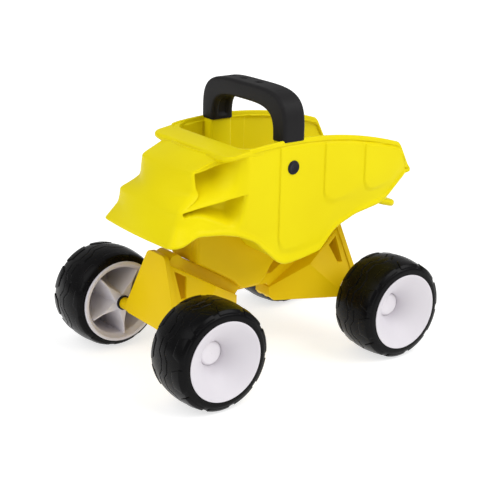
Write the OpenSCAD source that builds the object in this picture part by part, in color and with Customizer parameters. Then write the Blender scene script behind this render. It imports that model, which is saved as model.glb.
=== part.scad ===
// Toy dump truck for the sand pit: a tipping hopper with a carrying handle on a
// four-wheeled cradle chassis. Millimetres, +X forward, +Y to the left, +Z up,
// origin on the ground midway between the axles.

/* [Wheels] */
// Distance between the front and the rear axle
wheelbase = 205; // [190:1:230]
// Distance between the mid-planes of a left and a right tyre
track = 170; // [162:1:190]
// Radius of a tyre at the middle of its tread
tyre_r = 47.7; // [45:0.1:54]
// Width of a tyre between the hub's lip and flange
tyre_w = 49; // [44:0.5:54]
// Fall of the tread from its middle to its edges
tyre_crown = 4.3; // [2:0.1:6]
// Chamfer of the tyre's shoulders
tyre_shoulder = 3; // [1:0.1:4]
// Radius of the hub barrel that the tyre sits on
barrel_r = 35; // [32:0.5:37]
// Step of the hub's outer lip over its barrel
lip_step = 1; // [0.5:0.1:3]
// Thickness of the hub's outer lip
lip_t = 1; // [0.8:0.1:2]
// Step of the hub's inner flange over its barrel
flange_step = 3.9; // [2:0.1:5]
// Thickness of the hub's inner flange
flange_t = 3; // [2:0.1:5]
// Thickness of the hub's walls
hub_wall = 2.4; // [1.8:0.1:3.2]
// Depth of the hub's dish below its lip
dish_depth = 25; // [20:0.5:29]
// Flare of the dish: 1 for a straight cone, more for a trumpet
dish_flare = 1.8; // [1.2:0.1:2.2]
// Radius of the cap in the middle of the dish
cap_r = 10.5; // [9.5:0.1:13]
// Height of the cap above the bottom of the dish
cap_proud = 2.6; // [0.5:0.1:4]
// Number of arms of the star inside the hub
arm_count = 5; // [4:1:6]
// Radius of the star's corners between two arms
star_root_r = 13.5; // [12:0.5:15]
// Thickness of the star's arms along the axle
star_t = 9; // [5:0.5:11]

/* [Axles] */
// Radius of the steel axles
axle_r = 3; // [2.5:0.1:3.5]
// Radial play of the wheels on the axles and of the hopper on its hinge pin
running_play = 0.05; // [0.02:0.01:0.1]
// Thickness of the washer beside a wheel
washer_t = 2; // [1:0.1:3]
// Thickness of the push nut on an axle end
nut_t = 2; // [1:0.1:3]
// End play at each face of a washer, nut or wheel
end_play = 0.15; // [0.1:0.05:0.3]

/* [Chassis] */
// Height of an end shield
shield_h = 68.3; // [62:0.1:74]
// Gap between a shield's widest edge and the washer beside it
shield_gap = 8; // [6:0.1:14]
// Width of a shield at its top
shield_top_w = 27; // [24:1:40]
// Thickness of a shield
shield_t = 5; // [3:0.5:6]
// Lean of a shield towards the middle, in degrees
shield_lean = 6; // [3:0.5:8]
// Reach of a shield's foot below the axle
shield_drop = 3; // [2:0.1:8]
// Width of the cradle's arms and of the spine between them
arm_w = 18; // [14:1:20]
// Height of the arms above the frame blocks
arm_t = 12; // [10:0.5:15]
// Height of the cradle's seat above the axles
seat_h = 24.5; // [22:0.1:28]
// Length of the flat seat in the bottom of the cradle
seat_l = 44; // [42:1:50]
// Thickness of the spine under the seat
spine_t = 9.5; // [7:0.5:11]
// Width of a frame block's foot beside its shield
block_w = 84; // [70:1:88]
// Step of a frame block's leaning sides behind the shield's edge
block_step = 2; // [1:0.5:4]
// Width of a frame block at its tip
tip_w = 21; // [20:1:24]
// Gap between the tips of the two frame blocks
tip_gap = 38; // [36:1:50]
// Wall of the hollow frame blocks
frame_wall = 3; // [2:0.5:4]
// Radius of the bosses around the axles
boss_r = 5.5; // [5:0.25:7]
// Step of the stays behind a shield's edge
stay_step = 8; // [6:0.5:12]
// Length of the window in a frame block's side, beside the shield
window_l = 11; // [6:0.5:14]
// Height of that window
window_h = 17; // [10:0.5:20]

/* [Hinge] */
// Radius of the hinge pin
hinge_pin_r = 3; // [2.5:0.1:3.5]
// Radius of the hinge knuckles and of the lug's eye
knuckle_r = 7.5; // [6.5:0.5:8]
// Distance of the hinge from the shield's inner face
hinge_inset = 9; // [8.6:0.1:12]
// Width of the hopper's hinge lug
lug_w = 10; // [8:0.5:12]
// Width of each hinge knuckle beside the lug
knuckle_w = 7; // [5:0.5:9]
// Side play of the lug between the knuckles
lug_play = 0.4; // [0.3:0.1:0.6]

/* [Hopper] */
// Width over the hopper's side walls
hopper_w = 122; // [116:1:124]
// Thickness of the hopper's walls
hopper_wall = 3; // [2:0.25:4]
// Play between the hopper's keel and the cradle's seat
seat_play = 0.3; // [0.2:0.1:0.6]
// Height of the rim's highest point above the keel
rim_h = 146; // [138:1:156]
// Radius of the rim's long arch
rim_arch_r = 390; // [330:10:500]
// Reach of the canopy in front of the rim's highest point
canopy_reach = 76; // [70:1:82]
// Thickness of the canopy's nose
canopy_t = 9; // [6:0.5:11]
// Distance of the bin's front wall ahead of the rim's highest point
bin_front = 53; // [46:1:57]
// Reach of the side walls' top behind the rim's highest point
rim_rear = 122; // [112:1:130]
// Reach of the side walls' tail behind their top
tail_reach = 14; // [8:1:20]
// Height of the tail above the keel
tail_h = 100; // [92:1:108]
// Height of the wall's lowest edge above the keel
skirt_h = 34; // [28:1:40]
// Height of the rear floor above the keel
floor_h = 71; // [66:1:76]
// Reach of the pouring lip behind the rear floor
lip_reach = 32.8; // [24:0.2:36]
// Width of the pouring lip
lip_w = 102; // [90:1:108]
// Thickness of the pouring lip's edge
pour_t = 6.4; // [4:0.2:8]
// Width of the keel below the bin
keel_w = 44; // [38:1:50]
// Length of the keel's flat bottom
keel_l = 20; // [18:1:22]
// Step of each overlapping side panel over the one in front
panel_step = 1; // [0.3:0.1:1.4]

/* [Hood] */
// Reach of the upper step of the hood ahead of the canopy
step_reach = 21; // [16:1:26]
// Reach of the lower step ahead of the upper step
ledge_reach = 21; // [16:1:24]
// Reach of the apron ahead of the lower step
apron_reach = 12; // [8:1:16]
// Width of the upper step
step_w = 81; // [74:1:88]
// Width of the lower step
ledge_w = 98; // [92:1:104]
// Width of the apron
apron_w = 110; // [104:1:116]
// Depth of the recesses under the steps
recess = 9; // [5:0.5:11]
// Bulge of the hood's front
hood_bulge = 3; // [1:0.5:5]

/* [Handle] */
// Overhang of the handle's legs over the hopper's side walls
leg_overhang = 2; // [0:0.5:4]
// Height of the handle above the rim
handle_h = 43; // [38:1:52]
// Depth of the handle from front to back
handle_d = 24; // [20:0.5:28]
// Width of a handle leg at the rim
leg_w = 18; // [14:0.5:19]
// Thickness of the grip
grip_t = 16; // [11:0.5:18]
// Depth of the tangs below the rim
tang_l = 34; // [30:1:40]
// Radius of a handle pin
pin_r = 3; // [2.5:0.1:3.5]
// Radius of a handle pin's head
pin_head_r = 4.8; // [4:0.1:6]
// Depth of a handle pin below the rim
pin_drop = 24; // [20:0.5:26]
// Play of the tangs in their sockets
socket_play = 0.15; // [0.1:0.05:0.3]

/* [Hidden] */
$fn = 64;

yellow = [0.94, 0.85, 0.10];
white = [0.90, 0.89, 0.90];
black = [0.12, 0.12, 0.13];
steel = [0.72, 0.73, 0.75];
eps = 0.01;
front = 1;
rear = -1;
left = 1;
right = -1;

// Heights
axle_z = tyre_r;
seat_z = axle_z + seat_h;
channel_h = 4.2;
channel_play = 0.4;
keel_z = seat_z + seat_play - channel_h;
shield_foot_z = axle_z - shield_drop;
block_z = shield_foot_z;

// Places along the wheel's own axis, counted outwards from the tyre's mid-plane
lip_s = tyre_w / 2 + lip_t;
flange_s = -tyre_w / 2 - flange_t;
hub_boss_s = flange_s - 1.5;
dish_s = lip_s - dish_depth;
cap_t = 2;
cap_seat_s = dish_s - cap_t;
cup_r = cap_r - 1.5;
nut_room = nut_t + 2 * end_play + 1.5;
cup_s = cap_seat_s - nut_room - 2;
axle_end_s = cup_s + end_play + nut_t + 1;

// Places across the chassis
boss_end_y = track / 2 + hub_boss_s - washer_t - 2 * end_play;
axle_half = track / 2 + axle_end_s;
shield_w = 2 * (boss_end_y - shield_gap);
stay_w = shield_w - 2 * stay_step;

// Shield and hinge
shield_foot_x = wheelbase / 2 + boss_r + 0.6;
function shield_x(z) = shield_foot_x - (z - shield_foot_z) * tan(shield_lean);
shield_top_z = shield_foot_z + shield_h * cos(shield_lean);
hinge_z = shield_top_z - knuckle_r - 1;
hinge_x = -(shield_x(hinge_z) - shield_t / cos(shield_lean) - hinge_inset);
lug_half = lug_w / 2;
fork_y = lug_half + lug_play;
fork_end_y = fork_y + knuckle_w;

// Cradle arms: straight from the seat's end to the hinge's height
arm_end_x = -hinge_x;
arm_end_z = hinge_z + knuckle_r;
function arm_top(x) = seat_z + (arm_end_z - seat_z) * (x - seat_l / 2) / (arm_end_x - seat_l / 2);

// Hopper outline: x along the truck, h above the keel
rim_mid_x = -8;
function rim(x) = rim_h - pow(x - rim_mid_x, 2) / (2 * rim_arch_r);
nose_x = rim_mid_x + canopy_reach;
bin_front_x = rim_mid_x + bin_front;
hood_rear_x = bin_front_x + hopper_wall;
rear_top_x = rim_mid_x - rim_rear;
tail_x = rear_top_x - tail_reach;
half_w = hopper_w / 2;
foot_x = rear_top_x + 14;
foot_h = floor_h + 7;
lip_x = foot_x + 8;
skirt_front_x = 4;
skirt_rear_x = -37;
heel_x = skirt_rear_x - 19;
heel_h = (skirt_h + 6 + floor_h) / 2 + 4;
arch_x = skirt_front_x + 34;
arch_h = skirt_h + 27;
arch_top_h = arch_h + 13;
apron_h = arch_h + 6;

// Hood stations
step_x = nose_x + step_reach;
ledge_x = step_x + ledge_reach;
apron_x = ledge_x + apron_reach;
nose_h = rim(nose_x);
step_h = nose_h - 14;
ledge_h = (step_h + apron_h) / 2 + 1;

// Handle
leg_mid_x = rim_mid_x + 6;
handle_half = half_w + leg_overhang;
leg_in = handle_half - leg_w;
rim_z = keel_z + rim_h;
tang_w = leg_w - 9;
tang_d = handle_d - 10;
tang_y = half_w - hopper_wall - socket_play - tang_w / 2;
pillar_in = tang_y - tang_w / 2 - socket_play - hopper_wall;

// Points of an arc about a centre, from one angle to another
function arc(c, r, a0, a1, n = 8) =
    [for (i = [0:n]) let (a = a0 + (a1 - a0) * i / n) [c[0] + r * cos(a), c[1] + r * sin(a)]];

// Mirror image of a half outline, in reverse order
function mirrored(points) = [for (i = [len(points) - 1:-1:0]) [-points[i][0], points[i][1]]];

// Outline in the truck's side plane, made solid from one y to another
module side_prism(y0, y1, z0 = 0) {
    translate([0, y1, z0])
        rotate([90, 0, 0])
            linear_extrude(y1 - y0)
                children();
}

// Bar along Y between two places
module cross_bar(x, z, r, y0, y1) {
    translate([x, y0, z])
        rotate([-90, 0, 0])
            cylinder(r = r, h = y1 - y0);
}

// Solid through rings that have the same number of points, the first ring on top
module loft(rings) {
    n = len(rings[0]);
    m = len(rings);
    points = [for (ring = rings) each ring];
    sides = [
        for (j = [0:m - 2]) for (i = [0:n - 1]) let (a = j * n + i, b = j * n + (i + 1) % n)
            each [[a, a + n, b], [b, a + n, b + n]]
    ];
    top = [for (i = [1:n - 2]) [0, i, i + 1]];
    bottom = [for (i = [1:n - 2]) let (o = (m - 1) * n) [o, o + i + 1, o + i]];
    polyhedron(points, concat(sides, top, bottom));
}

// Places a child on a wheel's axis, its own Z pointing outwards from the mid-plane
module at_wheel(end, side) {
    translate([end * wheelbase / 2, side * track / 2, axle_z])
        rotate([-90 * side, 0, 0])
            children();
}

// Tyre section: crowned tread, chamfered shoulders, straight bore
function tread(s) = tyre_r - tyre_crown * pow(2 * s / tyre_w, 2);
module tyre(end, side) {
    edge = tyre_w / 2;
    shoulder = edge - tyre_shoulder;
    color(black)
        at_wheel(end, side)
            rotate_extrude()
                polygon(concat(
                    [[barrel_r, -edge], [tread(edge) - tyre_shoulder, -edge]],
                    [for (i = [-6:6]) [tread(shoulder * i / 6), shoulder * i / 6]],
                    [[tread(edge) - tyre_shoulder, edge], [barrel_r, edge]]
                ));
}

// Face of the dish, from the cap's seat out to the lip
dish_r0 = cap_r + 0.6;
dish_r1 = barrel_r + lip_step - 1.4;
function dish(t) = [dish_r0 + (dish_r1 - dish_r0) * pow(t, dish_flare), dish_s + (lip_s - dish_s) * t];
dish_steps = 8;
function dish_back(t) = dish(t) + hub_wall * [0.7, -1];
half_lap = 12;
star_angle = 50;
star_tip = 1.2;

// Outer part: a turned dish with a lip outside the tyre and a cup for the axle's end
module hub_outer(end, side) {
    inner_r = barrel_r - hub_wall;
    back_steps = [for (i = [0:dish_steps]) if (dish_back(i / dish_steps)[0] < inner_r - 0.5) i];
    last_back = dish_back(max(back_steps) / dish_steps);
    color(white)
        at_wheel(end, side)
            difference() {
                rotate_extrude()
                    polygon(concat(
                        [[barrel_r, tyre_w / 2 - half_lap], [barrel_r, tyre_w / 2]],
                        [[barrel_r + lip_step, tyre_w / 2], [barrel_r + lip_step, lip_s]],
                        [for (i = [dish_steps:-1:0]) dish(i / dish_steps)],
                        [[dish_r0, cap_seat_s], [cup_r, cap_seat_s], [cup_r, cup_s], [0, cup_s]],
                        [[0, cup_s - hub_wall], [cup_r + hub_wall, cup_s - hub_wall]],
                        [for (i = back_steps) dish_back(i / dish_steps)],
                        [[inner_r, last_back[1] + 1], [inner_r, tyre_w / 2 - half_lap]]
                    ));
                wheel_bore();
            }
}

// Barrel under the tyre, with the inner flange
module hub_barrel(end, side) {
    inner_r = barrel_r - hub_wall;
    color(white)
        at_wheel(end, side)
            rotate_extrude()
                polygon([
                    [inner_r, flange_s], [barrel_r + flange_step, flange_s],
                    [barrel_r + flange_step, -tyre_w / 2], [barrel_r, -tyre_w / 2],
                    [barrel_r, tyre_w / 2 - half_lap], [inner_r, tyre_w / 2 - half_lap]
                ]);
}

// Star that carries the barrel on a boss around the axle
module hub_star(end, side) {
    bore_wall_r = axle_r + running_play + hub_wall + 1;
    boss_l = cup_s - hub_wall - hub_boss_s;
    color(white)
        at_wheel(end, side)
            difference() {
                union() {
                    translate([0, 0, hub_boss_s])
                        cylinder(r = bore_wall_r, h = boss_l);
                    translate([0, 0, flange_s + 1])
                        linear_extrude(star_t)
                            star(barrel_r - hub_wall);
                }
                wheel_bore();
            }
}

// Star with a blunt tip on each arm
module star(tip_r) {
    pitch = 360 / arm_count;
    polygon([
        for (k = [0:arm_count - 1], step = [-1:1]) let (a = star_angle + k * pitch)
            step == 1
                ? star_root_r * [cos(a + pitch / 2), sin(a + pitch / 2)]
                : tip_r * [cos(a), sin(a)] + (2 * step + 1) * star_tip * [-sin(a), cos(a)]
    ]);
}

module wheel_bore() {
    translate([0, 0, hub_boss_s - 1])
        cylinder(r = axle_r + running_play, h = cup_s - hub_boss_s + 2);
}

// Cap: a disc seated in the dish, with a plug inside the cup
module hub_cap(end, side) {
    plug_wall = 1.5;
    plug_l = 3;
    color(white)
        at_wheel(end, side)
            difference() {
                union() {
                    translate([0, 0, cap_seat_s])
                        cylinder(r = cap_r, h = cap_t + cap_proud);
                    translate([0, 0, cap_seat_s - plug_l + eps])
                        cylinder(r = cup_r, h = plug_l);
                }
                translate([0, 0, cap_seat_s - plug_l - 1])
                    cylinder(r = cup_r - plug_wall, h = plug_l + 1);
            }
}

module push_nut(end, side) {
    color(steel)
        at_wheel(end, side)
            translate([0, 0, cup_s + end_play])
                difference() {
                    cylinder(r = cup_r - 2.2, h = nut_t);
                    translate([0, 0, -1])
                        cylinder(r = axle_r, h = nut_t + 2);
                }
}

module washer(end, side) {
    color(black)
        at_wheel(end, side)
            translate([0, 0, hub_boss_s - end_play - washer_t])
                difference() {
                    cylinder(r = axle_r + 4, h = washer_t);
                    translate([0, 0, -1])
                        cylinder(r = axle_r + running_play, h = washer_t + 2);
                }
}

module axle(end) {
    color(steel)
        cross_bar(end * wheelbase / 2, axle_z, axle_r, -axle_half, axle_half);
}

// End shield: a trapezoid with round corners, leaning towards the middle of the truck
module shield() {
    foot_r = 6;
    top_r = 8;
    edge_turn = atan2(shield_w - shield_top_w, 2 * shield_h);
    foot_y = shield_w / 2 - foot_r / tan((90 - edge_turn) / 2);
    top_y = shield_top_w / 2 - top_r / tan((90 + edge_turn) / 2);
    half = concat(
        arc([foot_y, foot_r], foot_r, -90, edge_turn),
        arc([top_y, shield_h - top_r], top_r, edge_turn, 90)
    );
    translate([shield_foot_x, 0, shield_foot_z])
        rotate([0, -shield_lean, 0])
            translate([-shield_t, 0, 0])
                rotate([90, 0, 90])
                    linear_extrude(shield_t)
                        polygon(concat(half, mirrored(half)));
}

// Side view of the cradle: a seat in the middle and an arm rising to each shield
module cradle_outline() {
    sink = 2;
    root_x = tip_gap / 2 + sink;
    half = [
        [0, seat_z - spine_t], [tip_gap / 2 - sink, seat_z - spine_t],
        [root_x, arm_top(root_x) - arm_t - sink],
        [arm_end_x, arm_end_z - arm_t - sink], [arm_end_x, arm_end_z],
        [seat_l / 2, seat_z], [0, seat_z]
    ];
    polygon(concat(half, mirrored(half)));
}

// Side view of one frame block under its arm, its top lowered for the hollow inside
module block_outline(end, drop) {
    tip = tip_gap / 2;
    back = shield_x(arm_end_z - arm_t) - shield_t / 2;
    foot = block_z - drop;
    scale([end, 1])
        polygon([
            [tip, arm_top(tip) - arm_t - drop], [tip, block_z + 5], [tip + 5, foot],
            [shield_x(block_z) - shield_t / 2, foot], [back, arm_top(back) - arm_t - drop]
        ]);
}

// Plan of one frame block, narrow at its tip
module block_plan(end, inset) {
    tip = tip_gap / 2 + inset;
    back = shield_x(block_z) - shield_t / 2 - inset;
    flare_x = back - 20;
    half_tip = tip_w / 2 - inset;
    half_back = block_w / 2 - inset;
    scale([end, 1])
        polygon([
            [tip, -half_tip], [flare_x, -half_back], [back, -half_back],
            [back, half_back], [flare_x, half_back], [tip, half_tip]
        ]);
}

// Front view of a frame block: its sides lean in along the shield's edges
module block_front(inset) {
    half_top = shield_top_w / 2 - block_step - inset;
    spread = (shield_w - shield_top_w) / 2 * (shield_h + inset) / shield_h;
    polygon([
        [-half_top - spread, -inset], [half_top + spread, -inset],
        [half_top, shield_h], [-half_top, shield_h]
    ]);
}

module frame_block(end, inset) {
    intersection() {
        translate([-wheelbase, 0, block_z])
            rotate([90, 0, 90])
                linear_extrude(2 * wheelbase)
                    block_front(inset);
        translate([0, 0, block_z - inset])
            linear_extrude(shield_h)
                block_plan(end, inset);
        side_prism(-track, track)
            block_outline(end, inset);
    }
}

// Window through both sides of a frame block, below its arm and beside its shield
module block_window(end) {
    top = shield_x(arm_end_z - arm_t) - shield_t - frame_wall - 1;
    z_top = arm_top(top - window_l) - arm_t - frame_wall - 1;
    for (side = [left, right])
        scale([end, side, 1])
            side_prism(arm_w / 2 + frame_wall, track / 2)
                polygon([
                    [top - window_l, z_top], [top, arm_top(top) - arm_t - frame_wall - 1],
                    [top, z_top - window_h], [top - window_l / 2, z_top - window_h]
                ]);
}

// Stay behind a shield that carries the axle out to its bosses
module axle_stay(end) {
    stay_h = axle_z + boss_r + 3 - block_z;
    inner_x = wheelbase / 2 - boss_r - 4;
    outer_x = shield_x(block_z + stay_h) - shield_t / 2;
    scale([end, 1, 1])
        translate([inner_x, -stay_w / 2, block_z])
            cube([outer_x - inner_x, stay_w, stay_h]);
}

module chassis_frame() {
    color(yellow)
        difference() {
            union() {
                side_prism(-arm_w / 2, arm_w / 2)
                    cradle_outline();
                for (end = [front, rear]) {
                    difference() {
                        frame_block(end, 0);
                        frame_block(end, frame_wall);
                        block_window(end);
                    }
                    side_prism(-frame_wall / 2, frame_wall / 2)
                        block_outline(end, 0);
                    scale([end, 1, 1])
                        shield();
                    axle_stay(end);
                    cross_bar(end * wheelbase / 2, axle_z, boss_r, -boss_end_y, boss_end_y);
                    cross_bar(end * arm_end_x, hinge_z, knuckle_r, -fork_end_y, fork_end_y);
                }
            }
            for (end = [front, rear])
                cross_bar(end * wheelbase / 2, axle_z, axle_r, -track, track);
            cross_bar(hinge_x, hinge_z, hinge_pin_r, -track, track);
            lug_room();
        }
}

// Slot between the knuckles and through the rear shield's top, where the hopper's lug swings
module lug_room() {
    room_r = knuckle_r + 1.5;
    cross_bar(hinge_x, hinge_z, room_r, -fork_y, fork_y);
    translate([hinge_x - 3 * room_r, -fork_y, hinge_z - room_r])
        cube([3 * room_r, 2 * fork_y, 4 * room_r]);
}

module hinge_pin() {
    color(steel)
        cross_bar(hinge_x, hinge_z, hinge_pin_r, -fork_end_y, fork_end_y);
}

// Lower edge of the side walls, from the tail forward to the hood
function skirt() = [
    [tail_x, tail_h], [tail_x + 6, tail_h - 2], [foot_x, foot_h], [foot_x + 10, floor_h + 2],
    [heel_x - 22, floor_h - 3], [heel_x, heel_h], [heel_x + 8, heel_h - 7],
    [skirt_rear_x, skirt_h + 6], [skirt_rear_x + 24, skirt_h + 1.5], [skirt_front_x, skirt_h],
    [skirt_front_x + 9, skirt_h + 4], [arch_x, arch_h]
];

function rim_points(x0, x1, rise, n = 12) =
    [for (i = [0:n]) let (x = x0 + (x1 - x0) * i / n) [x, rim(x) + rise]];

module wall_outline() {
    polygon(concat(
        skirt(),
        [[hood_rear_x, arch_h + 3]],
        rim_points(hood_rear_x, rear_top_x, 0)
    ));
}

// Space inside the bin: open above and behind, one wall thickness above the floor
module bin_outline() {
    w = hopper_wall;
    polygon([
        [lip_x - lip_reach - 20, rim_h + 20], [lip_x - lip_reach - 20, floor_h + w - 2],
        [foot_x + 10, floor_h + w + 2], [heel_x - 22, floor_h + w - 3], [heel_x, heel_h + w],
        [heel_x + 8, heel_h + w - 7], [skirt_rear_x + 2, skirt_h + w + 6],
        [skirt_rear_x + 24, skirt_h + w + 1.5], [skirt_front_x, skirt_h + w],
        [skirt_front_x + 8, skirt_h + w + 4], [arch_x - w, arch_h + w],
        [bin_front_x, arch_h + w + 14], [bin_front_x, rim_h + 20]
    ]);
}

// Keel under the bin: a block that straddles the cradle's spine, with a nose above the front arm
keel_front_x = seat_l / 2 - 1;
keel_rear_x = keel_front_x - keel_l;
keel_knee_x = keel_front_x + 9;
keel_nose_x = skirt_front_x + 68;
module keel_outline() {
    rest_z = keel_z - seat_play;
    polygon([
        [keel_rear_x, 0], [keel_front_x, 0],
        [keel_knee_x, arm_top(keel_knee_x) - rest_z], [keel_nose_x, arm_top(keel_nose_x) - rest_z],
        [keel_nose_x, arch_h + 6], [bin_front_x - 4, arch_h + 16],
        [skirt_rear_x - 4, skirt_h + 14], [keel_rear_x - 14, 17], [keel_rear_x - 6, 5]
    ]);
}

module pouring_lip() {
    h = floor_h - 3;
    bead = pour_t / 2;
    end_x = lip_x - lip_reach;
    side_prism(-lip_w / 2, lip_w / 2, keel_z)
        polygon([
            [foot_x + 12, h + 2], [foot_x + 12, h + 5],
            [end_x, h + bead - 6], [end_x, h - bead - 6]
        ]);
    cross_bar(end_x, keel_z + h - 6, bead, -lip_w / 2, lip_w / 2);
}

module canopy() {
    nose_r = canopy_t / 2;
    tip_h = rim(nose_x) - nose_r;
    side_prism(-half_w, half_w, keel_z)
        polygon(concat(
            rim_points(nose_x - nose_r, hood_rear_x, 0, 4),
            [[hood_rear_x, rim_h - 18], [hood_rear_x + 2, rim_h - 18], [nose_x - nose_r, tip_h - nose_r]]
        ));
    cross_bar(nose_x - nose_r, keel_z + tip_h, nose_r, -half_w, half_w);
}

// One level of the hood: a corner on each side of a bulging front, running back to the side walls
function hood_ring(h, x, w, mid_w, rear_w, lift, bulge, inset) =
    let (
        rear_x = hood_rear_x - (inset > 0 ? 1 : 0),
        mid_x = (rear_x + x) / 2 + 2,
        half = [
            [rear_x, rear_w / 2 - inset, keel_z + h + lift],
            [mid_x, mid_w / 2 - inset, keel_z + h + lift / 2],
            [x - inset, w / 2 - inset, keel_z + h]
        ]
    )
    concat(
        half,
        [[x + bulge - inset, 0, keel_z + h]],
        [for (i = [2:-1:0]) [half[i][0], -half[i][1], half[i][2]]]
    );

shelf_h = ledge_h + 12;
shelf_x = step_x + 2.5;
shelf_bulge = hood_bulge + 11;
shin_h = apron_h + 13;
shin_x = ledge_x + 3.5;
shin_bulge = hood_bulge + 4;
function hood_rings(inset) =
    let (
        bulge = hood_bulge,
        under_step_w = step_w + 4 - recess,
        under_ledge_w = ledge_w + 4 - recess,
        foot_h = apron_h - (inset > 0 ? 1 : 0)
    )
    [
        hood_ring(nose_h - 3 - inset, nose_x - 3, step_w + 6, step_w + 10, step_w + 14, 0, bulge, inset),
        hood_ring(step_h - inset / 2, step_x, step_w, step_w + 8, step_w + 18, 3, bulge, inset),
        hood_ring(step_h - 3, step_x + 1, step_w - 1, under_step_w, hopper_w - 6, 3, bulge, inset),
        hood_ring(shelf_h, shelf_x, step_w + 4, step_w + 12, hopper_w - 4, 3, shelf_bulge, inset),
        hood_ring(ledge_h, ledge_x, ledge_w, ledge_w + 8, hopper_w - 2, 5, bulge, inset),
        hood_ring(ledge_h - 3, ledge_x + 1, ledge_w - 1, under_ledge_w, hopper_w - 2, 5, bulge, inset),
        hood_ring(shin_h, shin_x, ledge_w + 1, ledge_w + 8, hopper_w - 2, 0, shin_bulge, inset),
        hood_ring(foot_h, apron_x, apron_w, hopper_w - 2, hopper_w, 0, bulge, inset)
    ];

// Space under the wheel arch that is cut out of the hood's lower edge
module arch_outline() {
    polygon([
        [arch_x - 30, arch_h - 60], [arch_x, arch_h], [hood_rear_x + 12, arch_h + 8],
        [hood_rear_x + 30, arch_top_h - 1], [ledge_x - 14, arch_top_h + 1], [ledge_x + 2, apron_h],
        [ledge_x + 2, apron_h - 20]
    ]);
}

// Hood in front of the bin's front wall, with the canopy on top
module hood() {
    color(yellow) {
        difference() {
            loft(hood_rings(0));
            loft(hood_rings(hopper_wall));
            side_prism(-track, track, keel_z)
                arch_outline();
        }
        canopy();
    }
}

// Overlapping side panels, each one a little prouder than the one in front
panel_x = [12, -38, -85];
module side_panels() {
    for (k = [0:2], side = [left, right]) {
        foot = [skirt_h + 10, floor_h + 12, floor_h + 16][k];
        x = panel_x[k];
        rear_h = tail_h + 12;
        scale([1, side, 1])
            side_prism(half_w - 1, half_w + panel_step * (k + 1), keel_z)
                polygon(concat(
                    rim_points(x, rear_top_x + 4, -4, 6),
                    [[rear_top_x, rear_h], [foot_x + 6, foot_h + 14]],
                    k == 0 ? [[heel_x, heel_h + 10], [skirt_rear_x, skirt_h + 16]] : [],
                    [[x - 8, foot], [x, foot + 8]]
                ));
    }
}

module pillar(side) {
    scale([1, side, 1])
        translate([leg_mid_x - handle_d / 2, pillar_in, keel_z + skirt_h + 1])
            cube([handle_d, half_w - 1 - pillar_in, rim_h - skirt_h - 1]);
}

module socket(side) {
    d = tang_d + 2 * socket_play;
    w = tang_w + 2 * socket_play;
    scale([1, side, 1])
        translate([leg_mid_x - d / 2, tang_y - w / 2, rim_z - tang_l - 2])
            cube([d, w, tang_l + 10]);
}

// Lug under the rear floor, with the eye for the hinge pin
module lug() {
    arm = knuckle_r - 1.5;
    top_z = keel_z + floor_h + 1;
    side_prism(-lug_half, lug_half)
        polygon([
            [hinge_x - arm, hinge_z], [hinge_x + arm, hinge_z],
            [heel_x - 16, top_z - 2], [foot_x + 14, top_z]
        ]);
    cross_bar(hinge_x, hinge_z, knuckle_r, -lug_half, lug_half);
}

// Channel along the keel's bottom for the cradle's spine and the root of its front arm
module spine_channel() {
    half = arm_w / 2 + channel_play;
    low = keel_z - 1;
    side_prism(-half, half)
        polygon([
            [-seat_l, low], [seat_l / 2, low], [arm_end_x, low], [arm_end_x, arm_end_z + seat_play],
            [seat_l / 2, seat_z + seat_play], [-seat_l, seat_z + seat_play]
        ]);
}

module keel() {
    color(yellow)
        difference() {
            side_prism(-keel_w / 2, keel_w / 2, keel_z)
                keel_outline();
            side_prism(-track, track, keel_z)
                wall_outline();
            spine_channel();
        }
}

module hopper() {
    color(yellow)
        difference() {
            union() {
                difference() {
                    side_prism(-half_w, half_w, keel_z)
                        wall_outline();
                    side_prism(hopper_wall - half_w, half_w - hopper_wall, keel_z)
                        bin_outline();
                }
                pouring_lip();
                side_panels();
                lug();
                for (side = [left, right])
                    pillar(side);
            }
            for (side = [left, right])
                socket(side);
            cross_bar(leg_mid_x, rim_z - pin_drop, pin_r, pillar_in - 1, track);
            cross_bar(leg_mid_x, rim_z - pin_drop, pin_r, -track, 1 - pillar_in);
            cross_bar(hinge_x, hinge_z, hinge_pin_r + running_play, -track, track);
        }
}

// Handle: an arch over the hopper with a tang below each leg
module handle_outline() {
    outer_r = 23;
    inner_r = 12;
    crown = 3;
    top = handle_h - crown;
    outer_bend = arc([handle_half - outer_r, top - outer_r], outer_r, 0, 80, 8);
    inner_bend = arc([leg_in - inner_r - 3, handle_h - grip_t - inner_r], inner_r, 80, 0, 6);
    outer = concat([[handle_half, 0]], outer_bend);
    inner = concat(inner_bend, [[leg_in, 0]]);
    grip = [[0, handle_h - grip_t]];
    polygon(concat(outer, [[0, handle_h]], mirrored(outer), mirrored(inner), grip, inner));
}

module handle() {
    color(black)
        difference() {
            union() {
                translate([leg_mid_x - handle_d / 2, 0, rim_z])
                    rotate([90, 0, 90])
                        linear_extrude(handle_d)
                            handle_outline();
                for (side = [left, right])
                    scale([1, side, 1])
                        translate([leg_mid_x - tang_d / 2, tang_y - tang_w / 2, rim_z - tang_l])
                            cube([tang_d, tang_w, tang_l + 1]);
            }
            cross_bar(leg_mid_x, rim_z - pin_drop, pin_r, -track, track);
        }
}

module handle_pin(side) {
    outside = half_w + panel_step;
    color(black)
        scale([1, side, 1]) {
            cross_bar(leg_mid_x, rim_z - pin_drop, pin_r, pillar_in, outside + 1);
            cross_bar(leg_mid_x, rim_z - pin_drop, pin_head_r, outside, outside + 1.5);
        }
}

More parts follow.
